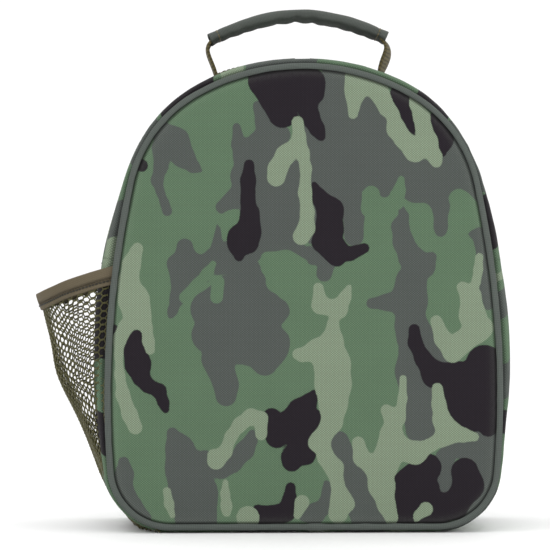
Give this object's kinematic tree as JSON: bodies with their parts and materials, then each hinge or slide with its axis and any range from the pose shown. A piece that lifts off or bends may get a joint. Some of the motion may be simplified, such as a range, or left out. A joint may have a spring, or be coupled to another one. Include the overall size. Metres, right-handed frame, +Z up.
{
  "type": "insulated cooler bag",
  "caption": "Arch-shaped insulated lunch cooler bag with piped front and back panels, a zipped lid that folds forward, a padded top grip on webbing and a mesh side pocket.",
  "frame": {"origin": "middle of the footprint, on the surface that the bag stands on", "axes": "+Z up along the longest extent, -Y towards the front panel, so +Y runs from front to back along the shortest extent; the mesh pocket is on the -X side"},
  "size_m": [0.2413, 0.0972, 0.2711],
  "materials": {
    "printed_fabric": "four-tone printed plain weave",
    "piping_tape": "bias-cut plain weave over a cord",
    "insulation": "closed-cell foam",
    "liner_film": "embossed silver-white film",
    "seam_tape": "fine ribbed binding tape",
    "zip_tape": "herringbone tape",
    "zip_teeth": "moulded coil",
    "zip_metal": "black enamel",
    "webbing": "ribbed webbing",
    "grip_cloth": "plain weave sleeve",
    "net": "hexagonal knitted net",
    "rim_tape": "folded grosgrain binding"
  },
  "bodies": {
    "bag": {"back_panel": "printed_fabric", "back_board": "insulation", "back_liner": "liner_film", "back_piping": "piping_tape", "lower_front_panel": "printed_fabric", "lower_front_board": "insulation", "lower_front_liner": "liner_film", "lower_front_piping": "piping_tape", "base_gusset": "printed_fabric", "base_board": "insulation", "base_liner": "liner_film", "rear_gusset": "printed_fabric", "rear_gusset_board": "insulation", "rear_gusset_liner": "liner_film", "back_seam_binding": "seam_tape", "base_seam_binding": "seam_tape", "rear_zip_tape": "zip_tape", "rear_zip_teeth": "zip_teeth", "zip_end_tabs": "printed_fabric", "strap_end_left": "webbing", "strap_end_right": "webbing", "mesh_pocket": "net", "pocket_rim": "rim_tape"},
    "lid": {"lid_front_panel": "printed_fabric", "lid_front_board": "insulation", "lid_front_liner": "liner_film", "lid_front_piping": "piping_tape", "lid_gusset": "printed_fabric", "lid_gusset_board": "insulation", "lid_gusset_liner": "liner_film", "lid_seam_binding": "seam_tape", "lid_zip_tape": "zip_tape", "lid_zip_teeth": "zip_teeth"},
    "handle": {"handle_strap": "webbing", "grip_sleeve": "grip_cloth", "grip_foam": "insulation"},
    "left_slider": {"slider_left": "zip_metal"},
    "right_slider": {"slider_right": "zip_metal"},
    "left_pull": {"pull_left": "zip_metal"},
    "right_pull": {"pull_right": "zip_metal"}
  },
  "joints": [
    {"name": "lid_fold", "type": "hinge", "parent": "bag", "child": "lid", "pos_m": [0, -0.0495, 0.138], "axis": [1, 0, 0], "range_deg": [0, 120]},
    {"name": "handle_swing", "type": "hinge", "parent": "bag", "child": "handle", "pos_m": [0, 0.014, 0.241], "axis": [1, 0, 0], "range_deg": [-58, 58]},
    {"name": "left_slider_travel", "type": "hinge", "parent": "bag", "child": "left_slider", "pos_m": [0, -0.022, 0.1256], "axis": [0, 1, 0], "range_deg": [-22, 0]},
    {"name": "right_slider_travel", "type": "hinge", "parent": "bag", "child": "right_slider", "pos_m": [0, -0.022, 0.1256], "axis": [0, 1, 0], "range_deg": [0, 22]},
    {"name": "left_pull_flip", "type": "hinge", "parent": "left_slider", "child": "left_pull", "pos_m": [-0.00721, -0.022, 0.24017], "axis": [0, 1, 0], "range_deg": [0, 100]},
    {"name": "right_pull_flip", "type": "hinge", "parent": "right_slider", "child": "right_pull", "pos_m": [0.00721, -0.022, 0.24017], "axis": [0, 1, 0], "range_deg": [-100, 0]}
  ]
}
